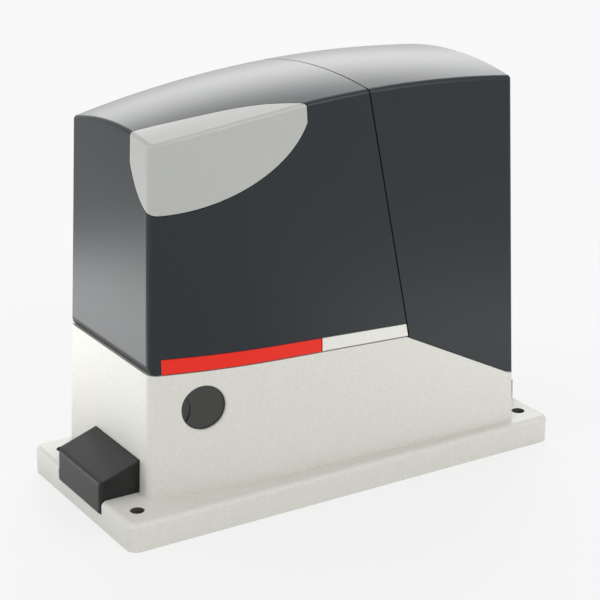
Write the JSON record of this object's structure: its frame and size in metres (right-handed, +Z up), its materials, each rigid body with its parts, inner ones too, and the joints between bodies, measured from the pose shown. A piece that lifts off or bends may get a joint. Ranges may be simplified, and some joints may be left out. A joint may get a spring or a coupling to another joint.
{
  "type": "sliding gate motor",
  "caption": "Sliding gate motor: cast base with flange, two dark covers, worm gear motor, rack pinion at the back, key release and control unit.",
  "frame": {"origin": "centre of the flange's underside, on the plane the motor stands on", "axes": "+X along the gate and the flange's long side, +Y towards the rack at the back, +Z up; the lock faces -Y"},
  "size_m": [0.3318, 0.212, 0.2735],
  "materials": {
    "base_paint": "fine orange-peel satin",
    "cover_plastic": "semi-gloss",
    "insert_plastic": "gloss",
    "label_red": "gloss",
    "anchor_plastic": "satin",
    "lock_plastic": "gloss",
    "inner_plastic": "matt",
    "bright_steel": "turned",
    "zinc_steel": "zinc plated",
    "wheel_bronze": "machined",
    "copper_winding": "enamelled",
    "case_aluminium": "as cast",
    "dark_iron": "matt",
    "black_rubber": "matt",
    "board_green": "satin",
    "terminal_green": "satin",
    "component_black": "satin"
  },
  "bodies": {
    "root": {"base_housing": "base_paint", "left_cover": "cover_plastic", "right_cover": "cover_plastic", "corner_insert": "insert_plastic", "red_label": "label_red", "trim_strip": "insert_plastic", "anchor_cover_left": "anchor_plastic", "anchor_cover_right": "anchor_plastic", "levelling_screws": "zinc_steel", "cover_screws": "zinc_steel", "lock_plate": "inner_plastic", "output_bearings": "bright_steel", "shaft_seal": "black_rubber", "gearcase": "case_aluminium", "gearcase_cover": "case_aluminium", "gearcase_screws": "zinc_steel", "motor_can": "dark_iron", "motor_magnets": "dark_iron", "motor_end_bell": "case_aluminium", "motor_bearings": "bright_steel", "brush_gear": "component_black", "motor_screws": "zinc_steel", "transformer_core": "dark_iron", "transformer_coil": "copper_winding", "control_tray": "inner_plastic", "tray_screws": "zinc_steel", "control_board": "board_green", "terminal_blocks": "terminal_green", "relays": "component_black", "capacitors": "component_black", "radio_card": "board_green", "button_housings": "component_black", "cable_grommet": "black_rubber", "limit_switch": "component_black"},
    "output": {"output_shaft": "bright_steel", "worm_wheel": "wheel_bronze", "drive_pinion": "bright_steel", "pinion_key": "bright_steel", "pinion_washer": "zinc_steel", "pinion_screw": "zinc_steel"},
    "rotor": {"worm_shaft": "bright_steel", "rotor_core": "dark_iron", "commutator": "copper_winding"},
    "clutch": {"clutch_slider": "bright_steel"},
    "yoke": {"release_yoke": "zinc_steel"},
    "release": {"release_barrel": "bright_steel"},
    "shutter": {"lock_shutter": "lock_plastic"},
    "lever": {"limit_lever": "bright_steel"},
    "open_button": {"button_open": "inner_plastic"},
    "stop_button": {"button_stop": "label_red"},
    "close_button": {"button_close": "inner_plastic"}
  },
  "joints": [
    {"name": "output_spin", "type": "hinge", "parent": "root", "child": "output", "pos_m": [-0.055, 0, 0.0777], "axis": [0, 1, 0], "continuous": true},
    {"name": "motor_spin", "type": "hinge", "parent": "root", "child": "rotor", "pos_m": [-0.025, 0.008, 0.15], "axis": [0, 0, 1], "continuous": true},
    {"name": "release_turn", "type": "hinge", "parent": "root", "child": "release", "pos_m": [-0.0999, -0.0354, 0.076], "axis": [0, 1, 0], "range_deg": [0, 90]},
    {"name": "yoke_slide", "type": "slide", "parent": "root", "child": "yoke", "axis": [0, -1, 0], "range_m": [0, 0.005]},
    {"name": "clutch_slide", "type": "slide", "parent": "output", "child": "clutch", "axis": [0, -1, 0], "range_m": [0, 0.005]},
    {"name": "shutter_slide", "type": "slide", "parent": "root", "child": "shutter", "axis": [0.9901, -0.1402, 0], "range_m": [0, 0.026]},
    {"name": "lever_tilt", "type": "hinge", "parent": "root", "child": "lever", "pos_m": [-0.004, 0.084, 0.084], "axis": [0, 1, 0], "range_deg": [-40, 40], "stiffness_Nm_per_rad": 0.05},
    {"name": "open_press", "type": "slide", "parent": "root", "child": "open_button", "axis": [0, 0, -1], "range_m": [0, 0.0005], "stiffness_N_per_m": 200},
    {"name": "stop_press", "type": "slide", "parent": "root", "child": "stop_button", "axis": [0, 0, -1], "range_m": [0, 0.0005], "stiffness_N_per_m": 200},
    {"name": "close_press", "type": "slide", "parent": "root", "child": "close_button", "axis": [0, 0, -1], "range_m": [0, 0.0005], "stiffness_N_per_m": 200}
  ],
  "couplings": [
    {"joint": "motor_spin", "follows": "output_spin", "ratio": 30},
    {"joint": "release_turn", "follows": "yoke_slide", "rad_per_m": 314.16},
    {"joint": "clutch_slide", "follows": "yoke_slide", "ratio": 1}
  ]
}
